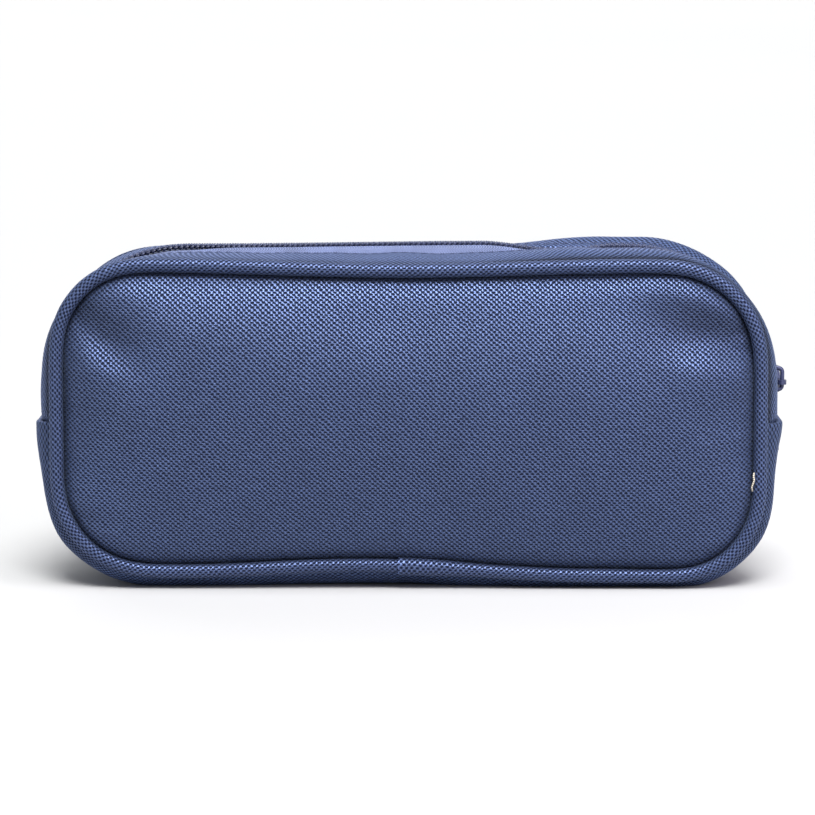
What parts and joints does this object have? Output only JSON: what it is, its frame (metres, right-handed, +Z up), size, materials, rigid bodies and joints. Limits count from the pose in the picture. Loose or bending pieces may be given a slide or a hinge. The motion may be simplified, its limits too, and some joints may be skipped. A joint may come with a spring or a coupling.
{
  "type": "pencil case",
  "caption": "Soft oblong pencil case of woven polyester, piped panels round a fabric band, with a coil zip over the top from end to end.",
  "frame": {"origin": "on the surface the case stands on, under the middle of the lower gusset", "axes": "+X along the case towards the closed end of the zip, -Y out of the plain face, +Z up"},
  "size_m": [0.2248, 0.059, 0.1025],
  "materials": {
    "woven_polyester": "navy basket-weave polyester, padded behind, soft sheen",
    "piping_cover": "the same navy weave cut on the bias, wrapped round a cord",
    "piping_filler": "soft off-white twisted cord",
    "seam_binding": "thin dark navy woven tape",
    "zip_tape": "fine navy herringbone tape",
    "zip_coil": "dark navy nylon coil, slight shine",
    "zip_slider": "dark navy enamel on zinc, satin",
    "zip_stop": "dark navy enamel, satin"
  },
  "bodies": {
    "case_base": {"lower_gusset": "woven_polyester", "front_panel_lower": "woven_polyester", "front_piping_cover_lower": "piping_cover", "front_piping_cord_lower": "piping_filler", "front_seam_binding_lower": "seam_binding", "front_top_stop": "zip_stop", "back_panel_lower": "woven_polyester", "back_piping_cover_lower": "piping_cover", "back_piping_cord_lower": "piping_filler", "back_seam_binding_lower": "seam_binding", "back_top_stop": "zip_stop", "bottom_stop": "zip_stop"},
    "front_lip": {"front_panel_upper": "woven_polyester", "front_piping_cover_upper": "piping_cover", "front_piping_cord_upper": "piping_filler", "front_seam_binding_upper": "seam_binding", "front_zip_strip": "woven_polyester", "front_zip_tape": "zip_tape", "front_zip_coil": "zip_coil"},
    "back_lip": {"back_panel_upper": "woven_polyester", "back_piping_cover_upper": "piping_cover", "back_piping_cord_upper": "piping_filler", "back_seam_binding_upper": "seam_binding", "back_zip_strip": "woven_polyester", "back_zip_tape": "zip_tape", "back_zip_coil": "zip_coil"},
    "slider": {"slider_body": "zip_slider"},
    "pull": {"pull_tab": "zip_slider"}
  },
  "joints": [
    {"name": "front_lip_open", "type": "hinge", "parent": "case_base", "child": "front_lip", "pos_m": [0, -0.03, 0.0485], "axis": [1, 0, 0], "range_deg": [0, 25], "deforming": ["front_zip_tape", "front_zip_coil"]},
    {"name": "back_lip_open", "type": "hinge", "parent": "case_base", "child": "back_lip", "pos_m": [0, 0.03, 0.0485], "axis": [-1, 0, 0], "range_deg": [0, 25], "deforming": ["back_zip_tape", "back_zip_coil"]},
    {"name": "slider_travel", "type": "hinge", "parent": "case_base", "child": "slider", "pos_m": [0.067, 0, 0.0602], "axis": [0, -1, 0], "range_deg": [0, 90]},
    {"name": "pull_swing", "type": "hinge", "parent": "slider", "child": "pull", "pos_m": [0.11255, 0, 0.0602], "axis": [0, 0, 1], "range_deg": [-192, 0]}
  ]
}
